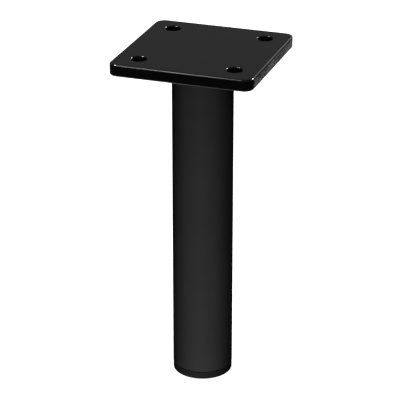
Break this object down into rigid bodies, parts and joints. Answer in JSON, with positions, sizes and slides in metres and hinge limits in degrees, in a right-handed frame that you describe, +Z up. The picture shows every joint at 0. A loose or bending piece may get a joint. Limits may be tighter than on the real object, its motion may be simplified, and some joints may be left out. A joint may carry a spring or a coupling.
{
  "type": "furniture leg",
  "caption": "Short round metal furniture leg: a square screw plate with rounded edges, welded on a straight tube that stands on a pushed-in plastic foot.",
  "frame": {"origin": "on the floor, under the middle of the foot", "axes": "+Z up along the tube to the mounting plate, with the plate's sides along X and Y"},
  "size_m": [0.06, 0.06, 0.145],
  "materials": {
    "plate_coat": "satin",
    "tube_coat": "matte",
    "foot_plastic": "matte"
  },
  "bodies": {
    "root": {"mounting_plate": "plate_coat", "leg_tube": "tube_coat", "weld_bead": "tube_coat", "foot_plug": "foot_plastic"}
  },
  "joints": []
}
